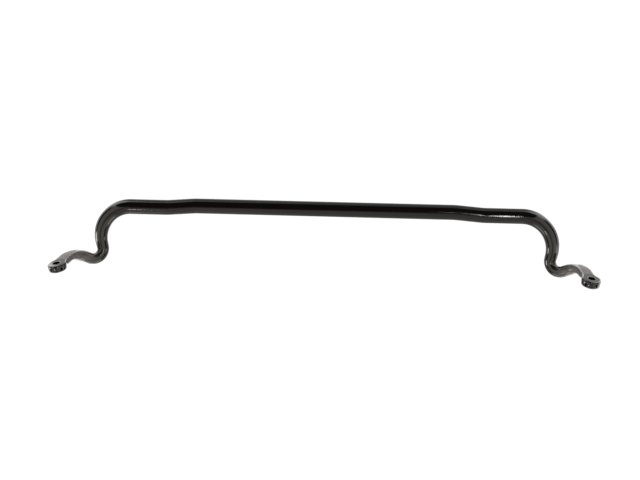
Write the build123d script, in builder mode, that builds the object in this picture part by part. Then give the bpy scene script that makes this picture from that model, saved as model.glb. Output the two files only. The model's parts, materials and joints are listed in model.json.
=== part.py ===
from build123d import *
from math import ceil, cos, radians, sin, tan
import os

# One-piece suspension stabiliser bar, lying on its side: the legs run along -Y from the
# ends of the torsion bar and the drilled ends stand up along +Z.  Millimetres and degrees.

# Round bar stock
bar_diameter = 30.0

# Straight runs, each measured between the bends at its two ends
centre_length = 509.0
jog_length = 46.0
seat_length = 70.5
leg_length = 8.0
outward_length = 1.5
arm_length = 38.0  # from the shoulder bend to the middle of the hole

# Centreline radius of each bend
jog_radius = 125.0
corner_radius = 62.0
lower_radius = 20.0
shoulder_radius = 49.0

# Headings of the runs: turned in plan from +X, then raised from level
jog_turn = -4.6
leg_turn = -102.5
leg_rise = -0.2
outward_turn = 26.3
outward_rise = 19.6
arm_turn = -53.1
arm_rise = 70.8

# Boss round the hole
boss_diameter = 38.0
boss_thickness = 15.0
boss_rim_radius = 3.2
hole_diameter = 14.4
hole_chamfer = 0.6
hole_turn = 81.6  # heading of the hole's axis
hole_rise = 14.1

# Forged end: the round stock is drawn down to a thinner shank, then pressed to a flat
# paddle that flares into the boss.  Lengths run up to the middle of the hole.
forging_length = 200.0
shank_length = 120.0
pressing_length = 82.0  # where the pressed step begins
paddle_length = 44.0
flare_length = 24.0
shank_thickness = 24.0
paddle_width = 25.5
paddle_sink = 0.05  # how far each flat of the paddle lies under the boss's face
paddle_fullness = 0.95  # 0.55 is an ellipse and 1 is nearly a rectangle
flare_margin = 1.0  # how far the flare stays inside the boss on each side
section_spacing = 5.0  # distance between the cross-sections that shape the end
least_turn = 0.001  # sections that turn less than this are parallel, in degrees
parallel = 0.999  # cosine above which a face is square to the hole's axis

ellipse_fullness = 4 / 3 * (2**0.5 - 1)
paddle_thickness = boss_thickness - 2 * paddle_sink


def heading(turn, rise):
    """The unit vector turned in plan from +X and raised from level."""
    level = cos(radians(rise))
    return Vector(level * cos(radians(turn)), level * sin(radians(turn)), sin(radians(rise)))


def bend_corners(runs, radii):
    """The points where the straight runs would meet if the bends were sharp."""
    corners = [Vector(0, 0, 0)]
    setback_before = 0
    for index, (run_heading, straight) in enumerate(runs):
        setback_after = 0
        if index < len(radii):
            turn = run_heading.get_angle(runs[index + 1][0])
            setback_after = radii[index] * tan(radians(turn / 2))
        corners.append(corners[-1] + run_heading * (setback_before + straight + setback_after))
        setback_before = setback_after
    return corners


def ease(share):
    """0 to 0 and 1 to 1, level at both ends."""
    share = max(0, min(1, share))
    return share * share * (3 - 2 * share)


def forged_section(remaining):
    """Width, thickness and fullness of the section this far before the middle of the hole."""
    drawn = ease((forging_length - remaining) / (forging_length - shank_length))
    pressed = ease((pressing_length - remaining) / (pressing_length - paddle_length))
    flared = ease(1 - remaining / flare_length)
    neck_width = bar_diameter + (paddle_width - bar_diameter) * drawn
    width = neck_width + (boss_diameter - 2 * flare_margin - neck_width) * flared
    neck_thickness = bar_diameter + (shank_thickness - bar_diameter) * drawn
    thickness = neck_thickness + (paddle_thickness - neck_thickness) * pressed
    fullness = ellipse_fullness + (paddle_fullness - ellipse_fullness) * pressed
    return width, thickness, fullness


def section_planes(wire, shares, end_normal):
    """Planes square to the wire, whose Y follows the bends and ends along end_normal."""
    planes = []
    flat_normal = end_normal
    heading_after = wire % 1
    for share in reversed(shares):
        heading_here = wire % share
        turn = heading_after.get_angle(heading_here)
        if turn > least_turn:
            hinge = Axis((0, 0, 0), heading_after.cross(heading_here))
            flat_normal = flat_normal.rotate(hinge, turn)
        planes.append(Plane(wire @ share, x_dir=flat_normal.cross(heading_here), z_dir=heading_here))
        heading_after = heading_here
    return planes[::-1]


arm_heading = heading(arm_turn, arm_rise)
runs = [
    (heading(0, 0), centre_length / 2),
    (heading(jog_turn, 0), jog_length),
    (heading(0, 0), seat_length),
    (heading(leg_turn, leg_rise), leg_length),
    (heading(outward_turn, outward_rise), outward_length),
    (arm_heading, arm_length),
]
radii = [jog_radius, jog_radius, corner_radius, lower_radius, shoulder_radius]

# Centreline of one half, from the middle of the bar to the middle of the hole
with BuildLine() as centreline:
    FilletPolyline(*bend_corners(runs, radii), radius=radii)
centre_wire = centreline.wire()
forging_start = 1 - forging_length / centre_wire.length
round_wire = centre_wire.trim(0, forging_start)
forged_wire = centre_wire.trim(forging_start, 1)

# The hole's axis is made square to the arm
near_axis = heading(hole_turn, hole_rise)
hole_axis = (near_axis - arm_heading * near_axis.dot(arm_heading)).normalized()
hole_plane = Plane(origin=centre_wire @ 1, x_dir=arm_heading, z_dir=hole_axis)

section_count = ceil(forging_length / section_spacing)
section_shares = [index / section_count for index in range(section_count + 1)]

with BuildPart() as half_bar:
    # Round stock with its jog and corner bend
    with BuildSketch(Plane.YZ):
        Circle(bar_diameter / 2)
    sweep(path=round_wire)

    # Forged end, from the round stock to the paddle
    for share, plane in zip(section_shares, section_planes(forged_wire, section_shares, hole_axis)):
        width, thickness, fullness = forged_section(forging_length * (1 - share))
        with BuildSketch(plane):
            with BuildLine():
                if share == 0:
                    CenterArc((0, 0), bar_diameter / 2, 0, 90)
                else:
                    Bezier(
                        (width / 2, 0),
                        (width / 2, fullness * thickness / 2),
                        (fullness * width / 2, thickness / 2),
                        (0, thickness / 2),
                    )
                mirror(about=Plane.YZ)
                mirror(about=Plane.XZ)
            make_face()
    loft()

with BuildPart() as boss:
    with BuildSketch(hole_plane):
        Circle(boss_diameter / 2)
    extrude(amount=boss_thickness / 2, both=True)
    fillet(boss.edges().filter_by(GeomType.CIRCLE), radius=boss_rim_radius)

with BuildPart() as sway_bar:
    add(half_bar.part)
    add(boss.part)
    with Locations(hole_plane):
        Hole(hole_diameter / 2, depth=boss_thickness)
    boss_faces = sway_bar.faces().filter_by(GeomType.PLANE).filter_by(
        lambda face: abs(face.normal_at().dot(hole_axis)) > parallel
    )
    hole_rims = [face.inner_wires()[0].edges() for face in boss_faces]
    chamfer(hole_rims, length=hole_chamfer)
    mirror(about=Plane.YZ)

# The origin is the middle of the underside
extent = sway_bar.part.bounding_box()
finished_bar = sway_bar.part.moved(Location((0, -extent.center().Y, -extent.min.Z)))
finished_bar.label = "sway_bar"

os.makedirs("parts", exist_ok=True)
export_step(finished_bar, "parts/sway_bar.step")

print("moved by", -extent.center().Y, -extent.min.Z, "hole at", hole_plane.origin, "axis", hole_axis)
print("valid", finished_bar.is_valid, "volume", finished_bar.volume, finished_bar.bounding_box())
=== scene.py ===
"""Sway bar: a bent and forged suspension stabiliser bar in gloss black paint, on a white table."""
import json
import math

import bmesh
import bpy
from bpy.props import FloatProperty, FloatVectorProperty, IntProperty, PointerProperty
from mathutils import Matrix, Vector


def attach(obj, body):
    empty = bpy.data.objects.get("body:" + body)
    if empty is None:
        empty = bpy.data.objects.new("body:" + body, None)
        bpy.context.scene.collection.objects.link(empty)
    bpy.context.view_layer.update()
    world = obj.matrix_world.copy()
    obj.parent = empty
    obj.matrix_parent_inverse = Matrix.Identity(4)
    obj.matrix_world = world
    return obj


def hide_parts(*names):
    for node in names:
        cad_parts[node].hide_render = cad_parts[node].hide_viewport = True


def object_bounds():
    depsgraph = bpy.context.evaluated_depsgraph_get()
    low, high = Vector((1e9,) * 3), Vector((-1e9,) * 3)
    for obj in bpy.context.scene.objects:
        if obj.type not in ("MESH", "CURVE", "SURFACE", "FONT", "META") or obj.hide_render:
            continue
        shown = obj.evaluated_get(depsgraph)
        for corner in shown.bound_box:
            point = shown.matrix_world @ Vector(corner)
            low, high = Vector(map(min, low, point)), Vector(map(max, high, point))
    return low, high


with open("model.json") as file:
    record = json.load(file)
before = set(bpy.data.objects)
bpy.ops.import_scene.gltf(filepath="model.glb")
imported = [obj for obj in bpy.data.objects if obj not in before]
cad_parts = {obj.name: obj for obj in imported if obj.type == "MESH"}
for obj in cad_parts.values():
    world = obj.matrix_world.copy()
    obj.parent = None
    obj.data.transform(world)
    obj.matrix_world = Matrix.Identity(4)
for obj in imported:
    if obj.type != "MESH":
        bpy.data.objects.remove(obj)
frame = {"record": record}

bl_info = {
    "name": "Sway bar",
    "version": (1, 0, 0),
    "blender": (4, 5, 0),
    "location": "3D View > Sidebar > Sway bar",
    "description": "Builds a bent and forged suspension stabiliser bar, and a white table to show it on",
    "category": "Object",
}

cad_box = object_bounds()
mounts = {mount["name"]: mount for mount in frame["record"]["mounts"]}
link_hole = mounts["right_link_hole"]
bushing_seat = mounts["right_bushing_seat"]
hole_centre = Vector(link_hole["pos_m"])
hole_axis = Vector(link_hole["axis"]).normalized()
hole_radius = link_hole["dims"]["r_mm"] / 1000
bar_radius = bushing_seat["dims"]["r_mm"] / 1000
torsion_axis = Vector((0, cad_box[1][1] - bar_radius, bushing_seat["pos_m"][2]))

# Straight runs of the right half: turn in plan and rise from level in degrees, and length
RUNS = (
    (0, 0, 0.2545),  # torsion bar
    (-4.6, 0, 0.046),  # jog
    (0, 0, 0.0705),  # bushing seat
    (-102.5, -0.2, 0.008),  # leg
    (26.3, 19.6, 0.0015),  # knee
    (-53.1, 70.8, 0.038),  # arm
)

# Corners of the bar's and the eye's cages, and how far a ring of so many shrinks when it is smoothed
RING_CORNERS = 12
EYE_CORNERS = 16
ring_shrink = (2 + math.cos(math.tau / RING_CORNERS)) / 3
eye_shrink = (2 + math.cos(math.tau / EYE_CORNERS)) / 3

# Rings along the round stock and along the forged end
ROUND_RINGS = 60
FORGED_RINGS = 42

# A ring's corners by angle from the flat, and each one's half width and half height once pressed square
SQUARE_CORNERS = ((30, 1, 0.72), (60, 0.8, 1), (90, 0, 1), (0, 1, 0))

# Broken edge of the hole, and how far in from the eye's rim its rounding starts
HOLE_EDGE = 0.0006
RIM_ROUNDING = 0.0056
TOUCHING = 1e-5

LAMP_HEIGHT = 3.2
CAMERA_PLACE = Vector((0.187337, 0.392945, 2.453037))
CAMERA_BACK = Vector((0.07856, 0.16139, 0.98376)).normalized()
CAMERA_UP = Vector((-0.02706, 0.98679, -0.15972))


class BarSizes(bpy.types.PropertyGroup):
    """Sizes of the bar that a user would change."""

    jog_radius: FloatProperty(
        name="Jog radius", description="Centreline radius of the shallow bends beside each bushing seat",
        default=0.125, min=0.03, unit="LENGTH")
    corner_radius: FloatProperty(
        name="Corner radius", description="Centreline radius of the bend from the torsion bar into the leg",
        default=0.062, min=0.03, unit="LENGTH")
    lower_radius: FloatProperty(
        name="Lower radius", description="Centreline radius of the tight bend at the end of the leg",
        default=0.020, min=0.016, unit="LENGTH")
    shoulder_radius: FloatProperty(
        name="Shoulder radius", description="Centreline radius of the bend into the arm",
        default=0.049, min=0.016, unit="LENGTH")
    forging_length: FloatProperty(
        name="Forging length",
        description="From where the round stock is first drawn down to the middle of the hole",
        default=0.2, min=0.15, unit="LENGTH")
    shank_length: FloatProperty(
        name="Shank length", description="From where the thinner shank is reached to the middle of the hole",
        default=0.12, min=0.09, unit="LENGTH")
    pressing_length: FloatProperty(
        name="Pressing length",
        description="From where the pressed step begins to the middle of the hole",
        default=0.082, min=0.05, unit="LENGTH")
    paddle_length: FloatProperty(
        name="Paddle length",
        description="From where the step ends in the flat paddle to the middle of the hole",
        default=0.044, min=0.03, unit="LENGTH")
    flare_length: FloatProperty(
        name="Flare length", description="From where the paddle begins to flare to the middle of the hole",
        default=0.024, min=0.02, unit="LENGTH")
    shank_thickness: FloatProperty(
        name="Shank thickness", description="Thickness of the drawn shank before the step",
        default=0.024, min=0.01, unit="LENGTH")
    paddle_width: FloatProperty(
        name="Paddle width", description="Width of the flattened arm behind the eye",
        default=0.0255, min=0.015, unit="LENGTH")
    boss_radius: FloatProperty(
        name="Eye radius", description="Outside radius of the round eye",
        default=0.019, min=0.012, unit="LENGTH")
    boss_thickness: FloatProperty(
        name="Eye thickness", description="Thickness of the eye between its flat faces",
        default=0.015, min=0.008, unit="LENGTH")
    smoothing: IntProperty(
        name="Smoothing", description="Subdivision levels of the finished surface", default=2, min=1, max=3)


class PaintColours(bpy.types.PropertyGroup):
    """Colours and gloss of the finish."""

    paint: FloatVectorProperty(
        name="Paint", description="Colour of the black paint", subtype="COLOR", size=3,
        default=(0.0014, 0.0012, 0.0010), min=0, max=1)
    roughness: FloatProperty(
        name="Roughness", description="Roughness of the smooth paint", default=0.07, min=0, max=1)
    # Painted sheen: the forged skin colour is a lighter grey copy of the same black paint, standing in for
    # the bright studio sides that the forged ends reflect
    skin: FloatVectorProperty(
        name="Forged skin", description="Colour of the paint over the forged ends", subtype="COLOR", size=3,
        default=(0.085, 0.081, 0.070), min=0, max=1)
    skin_roughness: FloatProperty(
        name="Forged skin roughness", description="Roughness of the paint over the forged ends",
        default=0.24, min=0, max=1)
    steel: FloatVectorProperty(
        name="Bare steel", description="Colour of the rubbed rim of each link hole", subtype="COLOR", size=3,
        default=(0.2, 0.195, 0.18), min=0, max=1)
    peel: FloatProperty(
        name="Orange peel", description="Strength of the paint's fine ripples", default=0.07, min=0, max=1)


class StageSizes(bpy.types.PropertyGroup):
    """The table, the lights and the camera."""

    focal_length: FloatProperty(
        name="Focal length", description="Lens of the camera", default=69.7, min=20, unit="CAMERA")
    table_glow: FloatProperty(
        name="Table glow", description="How brightly the white table lights the bar", default=1.0, min=0)


def only(obj):
    """Makes this the active and only selected object."""
    bpy.ops.object.select_all(action="DESELECT")
    obj.select_set(True)
    bpy.context.view_layer.objects.active = obj


def select(kind, chosen):
    """Selects the vertices, edges or faces of the mesh in edit mode for which chosen(element) is true."""
    bpy.ops.mesh.select_mode(type=kind)
    bpy.ops.mesh.select_all(action="DESELECT")
    cage = bmesh.from_edit_mesh(bpy.context.edit_object.data)
    for element in {"VERT": cage.verts, "EDGE": cage.edges, "FACE": cage.faces}[kind]:
        element.select = chosen(element)
    cage.select_flush_mode()
    bmesh.update_edit_mesh(bpy.context.edit_object.data)


def scale_about(centre, scale):
    """Scales the selection about a point."""
    bpy.ops.transform.resize(value=scale, center_override=centre)


def heading(turn, rise):
    """The unit vector turned in plan from +X and raised from level, in degrees."""
    turn, rise = math.radians(turn), math.radians(rise)
    return Vector((math.cos(rise) * math.cos(turn), math.cos(rise) * math.sin(turn), math.sin(rise)))


def run_points(start, along, length, step):
    """Points along a straight run, after its start."""
    count = math.ceil(length / step)
    return [start + along * (length * (number + 1) / count) for number in range(count)]


def bend_points(start, before, after, radius, step):
    """Points round the arc that turns from one heading to the next, after its start."""
    turn = before.angle(after)
    hinge = before.cross(after).normalized()
    centre = start + hinge.cross(before) * radius
    spoke = start - centre
    count = math.ceil(radius * turn / step)
    angles = [turn * (number + 1) / count for number in range(count)]
    return [centre + Matrix.Rotation(angle, 3, hinge) @ spoke for angle in angles]


def centreline(sizes, step=0.001):
    """Points along the middle of the right half of the bar, from the torsion bar to the hole."""
    headings = [heading(turn, rise) for turn, rise, _ in RUNS]
    radii = [sizes.jog_radius, sizes.jog_radius, sizes.corner_radius, sizes.lower_radius,
             sizes.shoulder_radius]
    points = [torsion_axis.copy()]
    points += run_points(points[-1], headings[0], RUNS[0][2], step)
    for before, after, radius, run in zip(headings, headings[1:], radii, RUNS[1:]):
        points += bend_points(points[-1], before, after, radius, step)
        points += run_points(points[-1], after, run[2], step)
    return points


def end_roll(line):
    """The roll that lays the paddle's flats square to the hole's axis after all the bends."""
    runs = [(after - before).normalized() for before, after in zip(line, line[1:])]
    upward = Vector((0, 0, 1))
    for before, after in zip(runs, runs[1:]):
        upward = before.rotation_difference(after) @ upward
    across = runs[-1].cross(upward)
    roll = math.atan2(hole_axis.dot(across), hole_axis.dot(upward))
    return (roll + math.pi / 2) % math.pi - math.pi / 2


def ease(share):
    """Rises smoothly from 0 to 1 as the share does, and stays there."""
    share = max(0.0, min(1.0, share))
    return share * share * (3 - 2 * share)


def forged_section(sizes, remaining):
    """Half width, half thickness and squareness of the bar this far before the hole."""
    drawn = ease((sizes.forging_length - remaining) / (sizes.forging_length - sizes.shank_length))
    pressed = ease((sizes.pressing_length - remaining) / (sizes.pressing_length - sizes.paddle_length))
    half_width = bar_radius + (sizes.paddle_width / 2 - bar_radius) * drawn
    half_thickness = bar_radius + (sizes.shank_thickness / 2 - bar_radius) * drawn
    half_thickness += (sizes.boss_thickness / 2 - half_thickness) * pressed
    return half_width, half_thickness, pressed


def shape_ring(x, half_width, half_thickness, squareness):
    """Draws the round ring at x down to a rounded rectangle."""
    centre = (x, 0, 0)

    def in_ring(corner):
        return abs(corner.co.x - x) < TOUCHING

    def corner_angle(corner):
        return math.degrees(math.atan2(abs(corner.co.z) / half_thickness, abs(corner.co.y) / half_width))

    def towards_square(rounded, square):
        return 1 + (square / rounded - 1) * squareness if rounded > TOUCHING else 1

    select("VERT", in_ring)
    scale_about(centre, (1, half_width / bar_radius, half_thickness / bar_radius))
    for angle, square_y, square_z in SQUARE_CORNERS:
        select("VERT", lambda corner: in_ring(corner) and abs(corner_angle(corner) - angle) < 5)
        round_y = math.cos(math.radians(angle)) / ring_shrink
        round_z = math.sin(math.radians(angle)) / ring_shrink
        scale_about(centre, (1, towards_square(round_y, square_y), towards_square(round_z, square_z)))


class SWAYBAR_OT_forge_bar(bpy.types.Operator):
    """Forge the straight bar's ends, bend both halves along the centreline and smooth the surface"""

    bl_idname = "sway_bar.forge_bar"
    bl_label = "Forged bar"

    def execute(self, context):
        sizes = context.scene.sway_bar_sizes
        line = centreline(sizes)
        length = sum((after - before).length for before, after in zip(line, line[1:]))

        bar = self.lay_out_stock(sizes, length)
        self.add_eye(sizes, length)
        self.join_eye(sizes, length)
        bpy.ops.mesh.select_all(action="SELECT")
        bpy.ops.mesh.normals_make_consistent(inside=False)
        bpy.ops.object.mode_set(mode="OBJECT")

        self.smooth(bar, sizes)
        self.bend(bar, line)
        self.mirror(bar)
        bpy.ops.object.shade_smooth()
        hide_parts("sway_bar")
        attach(bar, "root")
        bar.data.materials.clear()
        bar.data.materials.append(gloss_black_paint(context.scene.sway_bar_paint))
        return {"FINISHED"}

    def lay_out_stock(self, sizes, length):
        """Lays the round stock straight along X as a cage of rings, and forges the rings near the eye."""
        bpy.ops.object.select_all(action="DESELECT")
        bpy.ops.mesh.primitive_circle_add(
            vertices=RING_CORNERS, radius=bar_radius / ring_shrink, rotation=(0, math.pi / 2, 0))
        bar = bpy.context.object
        bar.name = "forged_bar"
        bpy.ops.object.transform_apply(location=True, rotation=True, scale=True)
        bpy.ops.object.mode_set(mode="EDIT")
        bpy.ops.mesh.select_all(action="SELECT")
        forging_start = length - sizes.forging_length
        forged_run = sizes.forging_length - sizes.flare_length
        round_rings = [forging_start * number / ROUND_RINGS for number in range(ROUND_RINGS + 1)]
        forged_rings = [forging_start + forged_run * (number + 1) / FORGED_RINGS
                        for number in range(FORGED_RINGS)]
        rings = round_rings + forged_rings
        for before, after in zip(rings, rings[1:]):
            bpy.ops.mesh.extrude_region_move(TRANSFORM_OT_translate={"value": (after - before, 0, 0)})
        for x in forged_rings:
            shape_ring(x, *forged_section(sizes, length - x))
        return bar

    def add_eye(self, sizes, length):
        """Adds the eye's cage: a ring drawn once round the eye's section by extruding and scaling."""
        half = sizes.boss_thickness / 2
        upper = [(hole_radius, half - 2 * HOLE_EDGE), (hole_radius, half - HOLE_EDGE),
                 (hole_radius + HOLE_EDGE, half), (hole_radius + 2 * HOLE_EDGE, half),
                 (sizes.boss_radius - RIM_ROUNDING, half), (sizes.boss_radius, half)]
        lower = [(radius, -height) for radius, height in reversed(upper)]
        section = [lower[-1], *upper, (sizes.boss_radius, 0), *lower[:-1]]

        bpy.ops.mesh.select_all(action="DESELECT")
        bpy.ops.mesh.primitive_circle_add(
            vertices=EYE_CORNERS, radius=hole_radius / eye_shrink, location=(length, 0, section[0][1]))
        for (radius, height), (next_radius, next_height) in zip(section, section[1:]):
            bpy.ops.mesh.extrude_region_move(TRANSFORM_OT_translate={"value": (0, 0, next_height - height)})
            scale = next_radius / radius
            scale_about((length, 0, next_height), (scale, scale, 1))

        def at_foot_of_hole(edge):
            return edge.is_boundary and all(
                abs(math.hypot(corner.co.x - length, corner.co.y) - hole_radius / eye_shrink) < TOUCHING
                for corner in edge.verts)

        select("EDGE", at_foot_of_hole)
        bpy.ops.mesh.bridge_edge_loops()

    def join_eye(self, sizes, length):
        """Opens the eye's wall towards the bar and bridges it to the bar's last ring."""

        def faces_bar(face):
            middle = face.calc_center_median()
            in_wall = math.hypot(middle.x - length, middle.y) > sizes.boss_radius * 0.95
            return (in_wall and middle.x > length - sizes.flare_length
                    and math.atan2(abs(middle.y), length - middle.x) < math.pi / 4)

        select("FACE", faces_bar)
        bpy.ops.mesh.delete(type="FACE")
        select("EDGE", lambda edge: edge.is_boundary and edge.verts[0].co.x > TOUCHING)
        bpy.ops.mesh.bridge_edge_loops()

    def smooth(self, bar, sizes):
        """Smooths the cage into the finished surface."""
        only(bar)
        modifier = bar.modifiers.new("Smooth", "SUBSURF")
        modifier.levels = modifier.render_levels = sizes.smoothing
        bpy.ops.object.modifier_apply(modifier=modifier.name)

    def bend(self, bar, line):
        """Bends the straight half along the centreline."""
        path = bpy.data.curves.new("centreline", "CURVE")
        path.dimensions = "3D"
        path.twist_mode = "MINIMUM"
        spline = path.splines.new("POLY")
        spline.points.add(len(line) - 1)
        roll = end_roll(line)
        for point, place in zip(spline.points, line):
            point.co = (*place, 1)
            point.tilt = roll
        guide = bpy.data.objects.new("centreline", path)
        bpy.context.collection.objects.link(guide)
        only(bar)
        modifier = bar.modifiers.new("Bend", "CURVE")
        modifier.object = guide
        modifier.deform_axis = "POS_X"
        bpy.ops.object.modifier_apply(modifier=modifier.name)
        bpy.data.objects.remove(guide)

    def mirror(self, bar):
        """Adds the left half."""
        only(bar)
        modifier = bar.modifiers.new("Other half", "MIRROR")
        modifier.use_axis = (True, False, False)
        modifier.merge_threshold = 0.0002
        bpy.ops.object.modifier_apply(modifier=modifier.name)


def add_node(tree, kind, **settings):
    """Adds a node, sets its properties and the values of its input sockets."""
    node = tree.nodes.new("ShaderNode" + kind)
    for name, value in settings.items():
        if hasattr(node, name):
            setattr(node, name, value)
        else:
            node.inputs[name.replace("_", " ")].default_value = value
    return node


def blend_range(tree, source, low, high, low_value, high_value):
    """Maps a value from low..high smoothly onto low_value..high_value."""
    node = add_node(tree, "MapRange", interpolation_type="SMOOTHSTEP")
    for name, value in (("From Min", low), ("From Max", high), ("To Min", low_value), ("To Max", high_value)):
        node.inputs[name].default_value = value
    tree.links.new(source, node.inputs["Value"])
    return node.outputs["Result"]


def calculate(tree, operation, *values):
    """One step of arithmetic on node outputs and plain numbers."""
    node = add_node(tree, "Math", operation=operation)
    for socket, value in zip(node.inputs, values):
        if isinstance(value, (int, float)):
            socket.default_value = value
        else:
            tree.links.new(value, socket)
    return node.outputs["Value"]


def blend_colours(tree, share, first, second):
    """Blends from the first colour to the second; each is a node output or three numbers."""
    node = add_node(tree, "Mix", data_type="RGBA")
    tree.links.new(share, node.inputs[0])
    for socket, colour in ((node.inputs[6], first), (node.inputs[7], second)):
        if isinstance(colour, tuple):
            socket.default_value = (*colour, 1)
        else:
            tree.links.new(colour, socket)
    return node.outputs[2]


def vector_step(tree, operation, first, second=None):
    """One step of vector arithmetic on a node output and, for some, three plain numbers."""
    node = add_node(tree, "VectorMath", operation=operation)
    tree.links.new(first, node.inputs[0])
    if second is not None:
        node.inputs[1].default_value = second
    return node.outputs["Value" if operation == "LENGTH" else "Vector"]


def mottle(tree, place, scale, detail, roughness=0.5):
    """Noise over the surface, in patches of about one over the scale."""
    node = add_node(tree, "TexNoise", Scale=scale, Detail=detail, Roughness=roughness)
    tree.links.new(place, node.inputs["Vector"])
    return node.outputs["Fac"]


def bump(tree, height, strength, distance, normal=None):
    """Raises the surface by a height, on top of the bumps that it already has."""
    node = add_node(tree, "Bump", Strength=strength, Distance=distance)
    tree.links.new(height, node.inputs["Height"])
    if normal is not None:
        tree.links.new(normal, node.inputs["Normal"])
    return node.outputs["Normal"]


def gloss_black_paint(colours):
    """Dipped black enamel: glossy on the round stock, satin on the coarser forged ends, where a lighter grey
    colour is a painted sheen for the bright studio sides they reflect.
    """
    material = bpy.data.materials.new("gloss_black_paint")
    material.use_nodes = True
    tree = material.node_tree
    shader = tree.nodes["Principled BSDF"]
    place = add_node(tree, "TexCoord").outputs["Object"]
    parts = add_node(tree, "SeparateXYZ")
    tree.links.new(place, parts.inputs["Vector"])
    sideways = calculate(tree, "ABSOLUTE", parts.outputs["X"])

    # Distance from the middle of the nearer link hole, and from its axis
    mirrored = add_node(tree, "CombineXYZ")
    tree.links.new(sideways, mirrored.inputs["X"])
    tree.links.new(parts.outputs["Y"], mirrored.inputs["Y"])
    tree.links.new(parts.outputs["Z"], mirrored.inputs["Z"])
    from_hole = vector_step(tree, "SUBTRACT", mirrored.outputs["Vector"], hole_centre)
    from_middle = vector_step(tree, "LENGTH", from_hole)
    from_axis = vector_step(tree, "LENGTH", vector_step(tree, "CROSS_PRODUCT", from_hole, hole_axis))

    # Mask of the forged skin's satin finish and its painted sheen: it starts in the corner bends, is faint on
    # the legs, full and coarse on the arms, and stops at the eyes
    past_corner = calculate(
        tree, "MULTIPLY", blend_range(tree, sideways, 0.405, 0.445, 0, 1),
        blend_range(tree, parts.outputs["Y"], 0.0, 0.04, 1, 0))
    forging = calculate(tree, "MULTIPLY", past_corner, blend_range(tree, from_middle, 0.019, 0.024, 0, 1))
    on_arm = blend_range(tree, sideways, 0.452, 0.485, 0.12, 1)
    satin_and_painted_sheen = calculate(tree, "MULTIPLY", forging, on_arm)

    # Bolt washers rub the rim of each link hole to bare steel
    ragged = calculate(tree, "MULTIPLY_ADD", mottle(tree, place, 700, 3), 0.0012, from_axis)
    worn = calculate(
        tree, "MULTIPLY", blend_range(tree, ragged, hole_radius + 0.0014, hole_radius + 0.0019, 1, 0),
        blend_range(tree, from_axis, hole_radius + 0.0002, hole_radius + 0.0005, 0, 1))

    drift = mottle(tree, place, 22, 3)
    paint = blend_colours(tree, drift, tuple(0.5 * part for part in colours.paint),
                          tuple(1.6 * part for part in colours.paint))
    # Painted sheen: the forged skin is a lighter grey than the same black paint, standing in for the light
    # that the forged ends reflect
    skin = blend_colours(tree, drift, tuple(0.7 * part for part in colours.skin),
                         tuple(1.3 * part for part in colours.skin))
    paint_and_painted_sheen = blend_colours(tree, satin_and_painted_sheen, paint, skin)
    tree.links.new(blend_colours(tree, worn, paint_and_painted_sheen, tuple(colours.steel)), shader.inputs["Base Color"])
    tree.links.new(calculate(tree, "MULTIPLY", worn, 0.9), shader.inputs["Metallic"])

    patches = mottle(tree, place, 60, 4, 0.6)
    enamel = blend_range(tree, patches, 0.3, 0.75, colours.roughness * 0.8, colours.roughness * 1.5)
    satin = calculate(tree, "MULTIPLY_ADD", satin_and_painted_sheen, colours.skin_roughness - colours.roughness, enamel)
    tree.links.new(calculate(tree, "MULTIPLY_ADD", worn, 0.25, satin), shader.inputs["Roughness"])

    # Slow ripples and fine orange peel all over, and dimples in the forged skin
    ripples = bump(tree, mottle(tree, place, 75, 1), colours.peel, 0.0006)
    dimples = calculate(tree, "MULTIPLY", mottle(tree, place, 190, 3, 0.6), forging)
    dimpled = bump(tree, dimples, 0.15, 0.0002, ripples)
    peel = bump(tree, mottle(tree, place, 420, 2), colours.peel, 0.0002, dimpled)
    tree.links.new(peel, shader.inputs["Normal"])
    return material


def add_light(name, place, target, size, radiance):
    """Adds a rectangular soft light at a place, facing a target."""
    bpy.ops.object.light_add(type="AREA", location=place)
    lamp = bpy.context.object
    lamp.name = name
    lamp.data.shape = "RECTANGLE"
    lamp.data.size, lamp.data.size_y = size
    lamp.data.energy = radiance * math.pi * size[0] * size[1]
    lamp.rotation_euler = (Vector(target) - Vector(place)).to_track_quat("-Z", "Y").to_euler()


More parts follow.
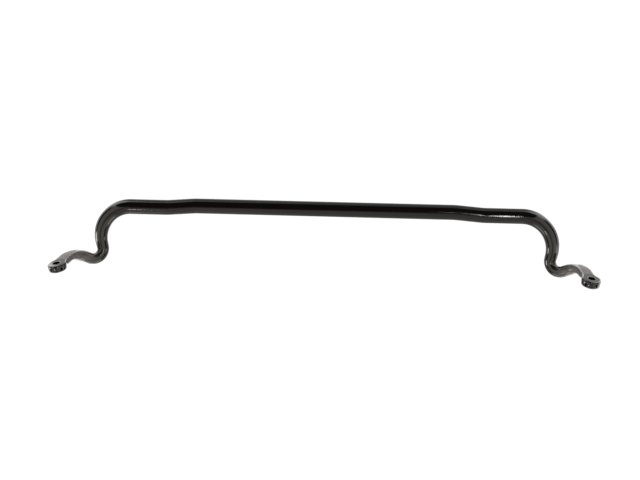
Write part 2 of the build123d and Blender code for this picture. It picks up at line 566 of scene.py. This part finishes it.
class SWAYBAR_OT_stage(bpy.types.Operator):
    """Set out the white table, the soft lights and the camera"""

    bl_idname = "sway_bar.stage"
    bl_label = "Table, lights and camera"

    def execute(self, context):
        stage = context.scene.sway_bar_stage
        bpy.ops.object.select_all(action="DESELECT")
        bpy.ops.mesh.primitive_plane_add(size=24, location=(0, 0, cad_box[0][2]))
        table = context.object
        table.name = "white_table"
        table.data.materials.append(self.white_table(stage))
        context.scene.world = self.studio()
        add_light("right_lamp", (0.58, 0.2, LAMP_HEIGHT), (0.58, 0.2, 0), (0.07, 1.0), 27)
        add_light("right_jog_lamp", (0.34, 0.38, LAMP_HEIGHT), (0.34, 0.38, 0), (0.03, 0.3), 8)
        add_light("front_lamp", (-1.45, -2.4, LAMP_HEIGHT), (0, 0, 0), (0.35, 0.16), 30)
        add_light("left_card", (-2.0, -0.45, 0.4), (-0.45, -0.03, 0.015), (0.5, 0.7), 10)
        add_light("right_card", (2.0, -0.45, 0.6), (0.45, 0, 0.015), (0.4, 0.9), 2.5)
        context.scene.view_settings.view_transform = "Standard"
        self.add_camera(context, stage)
        return {"FINISHED"}

    def add_camera(self, context, stage):
        """Adds the camera, above the bar and a little behind it."""
        camera = bpy.data.objects.new("camera", bpy.data.cameras.new("camera"))
        context.collection.objects.link(camera)
        right = CAMERA_UP.cross(CAMERA_BACK).normalized()
        up = CAMERA_BACK.cross(right)
        turned = Matrix((right, up, CAMERA_BACK)).transposed()
        camera.matrix_world = Matrix.LocRotScale(CAMERA_PLACE, turned, None)
        camera.data.lens = stage.focal_length
        context.scene.camera = camera

    def white_table(self, stage):
        """A white table top that glows evenly to the camera; in the bar's reflections its glow holds painted
        shade under the bar, a painted pool of light beside the legs and a painted shadow under each arm.
        """
        material = bpy.data.materials.new("white_table")
        material.use_nodes = True
        tree = material.node_tree
        shader = tree.nodes["Principled BSDF"]
        shader.inputs["Base Color"].default_value = (0.05, 0.05, 0.05, 1)
        shader.inputs["Roughness"].default_value = 1
        shader.inputs["Specular IOR Level"].default_value = 0
        shader.inputs["Emission Color"].default_value = (1, 1, 1, 1)
        place = add_node(tree, "SeparateXYZ")
        tree.links.new(add_node(tree, "TexCoord").outputs["Object"], place.inputs["Vector"])
        outward = calculate(tree, "ABSOLUTE", place.outputs["X"])
        # Painted shade under the bar and painted light beside the legs, seen only in the bar's reflections
        painted_shade_and_light = blend_range(tree, outward, 0.4, 0.47, stage.table_glow * 0.55, stage.table_glow * 3.4)
        # Painted shadow: the table's glow in reflections dims under each arm
        from_arm = calculate(tree, "ABSOLUTE", calculate(tree, "SUBTRACT", outward, hole_centre.x + 0.027))
        painted_arm_shadow = blend_range(tree, from_arm, 0.03, 0.045, 0.3, 1)
        reflected = calculate(tree, "MULTIPLY", painted_shade_and_light, painted_arm_shadow)
        seen = add_node(tree, "LightPath").outputs["Is Camera Ray"]
        glow = calculate(tree, "MAXIMUM", calculate(tree, "MULTIPLY", seen, stage.table_glow),
                         calculate(tree, "MULTIPLY", reflected, calculate(tree, "SUBTRACT", 1, seen)))
        tree.links.new(glow, shader.inputs["Emission Strength"])
        return material

    def studio(self):
        """Surroundings that look plain white, and that the bar reflects as a studio with a dark opening."""
        world = bpy.data.worlds.new("studio")
        world.use_nodes = True
        tree = world.node_tree
        direction = add_node(tree, "SeparateXYZ")
        tree.links.new(add_node(tree, "TexCoord").outputs["Generated"], direction.inputs["Vector"])
        sideways = calculate(tree, "ABSOLUTE", direction.outputs["X"])
        height = direction.outputs["Z"]

        # Warm grey wall in front, paler walls beside it with a bright foot, and a dark end to each side
        walls = blend_colours(
            tree, blend_range(tree, sideways, 0.1, 0.35, 0, 1), (0.80, 0.72, 0.68), (1.25, 1.2, 1.1))
        foot = calculate(tree, "MULTIPLY", blend_range(tree, sideways, 0.24, 0.4, 0, 1),
                         blend_range(tree, height, 0.26, 0.36, 1, 0))
        walls = blend_colours(tree, foot, walls, (3.2, 3.1, 2.9))
        side_end = calculate(tree, "MULTIPLY", blend_range(tree, sideways, 0.64, 0.76, 0, 1),
                             blend_range(tree, height, 0.4, 0.55, 1, 0))
        walls = blend_colours(tree, side_end, walls, (0.05, 0.045, 0.04))

        # Dark opening from overhead to the back, which widens towards the back
        off_middle = calculate(tree, "ABSOLUTE", calculate(tree, "ADD", direction.outputs["X"], 0.075))
        backward = calculate(tree, "MAXIMUM", direction.outputs["Y"], 0)
        narrowed = calculate(tree, "MULTIPLY_ADD", backward, -0.5, off_middle)
        within = blend_range(tree, narrowed, 0.15, 0.185, 1, 0)
        behind_front = blend_range(tree, direction.outputs["Y"], -0.5, -0.02, 0, 1)
        above = blend_range(tree, height, 0.0, 0.3, 0, 1)
        opening = calculate(tree, "MULTIPLY", calculate(tree, "MULTIPLY", within, behind_front), above)
        reflected = blend_colours(tree, opening, walls, (0.08, 0.065, 0.05))
        seen = add_node(tree, "LightPath").outputs["Is Camera Ray"]
        surroundings = blend_colours(tree, seen, reflected, (0.97, 0.97, 0.97))
        tree.links.new(surroundings, tree.nodes["Background"].inputs["Color"])
        return world


class SWAYBAR_PT_panel(bpy.types.Panel):
    """Lists the pieces and their sizes"""

    bl_idname = "SWAYBAR_PT_panel"
    bl_label = "Sway bar"
    bl_space_type = "VIEW_3D"
    bl_region_type = "UI"
    bl_category = "Sway bar"

    def draw(self, context):
        for group in ("sway_bar_sizes", "sway_bar_paint", "sway_bar_stage"):
            box = self.layout.box()
            settings = getattr(context.scene, group)
            for name in settings.__annotations__:
                box.prop(settings, name)
        for operator in operators:
            self.layout.operator(operator.bl_idname)


operators = (SWAYBAR_OT_forge_bar, SWAYBAR_OT_stage)
groups = {"sway_bar_sizes": BarSizes, "sway_bar_paint": PaintColours, "sway_bar_stage": StageSizes}
classes = (*groups.values(), *operators, SWAYBAR_PT_panel)


def register():
    for cls in classes:
        bpy.utils.register_class(cls)
    for name, group in groups.items():
        setattr(bpy.types.Scene, name, PointerProperty(type=group))


def unregister():
    for name in groups:
        delattr(bpy.types.Scene, name)
    for cls in reversed(classes):
        bpy.utils.unregister_class(cls)


def main():
    register()
    bpy.ops.sway_bar.forge_bar()
    bpy.ops.sway_bar.stage()


if __name__ == "__main__":
    main()
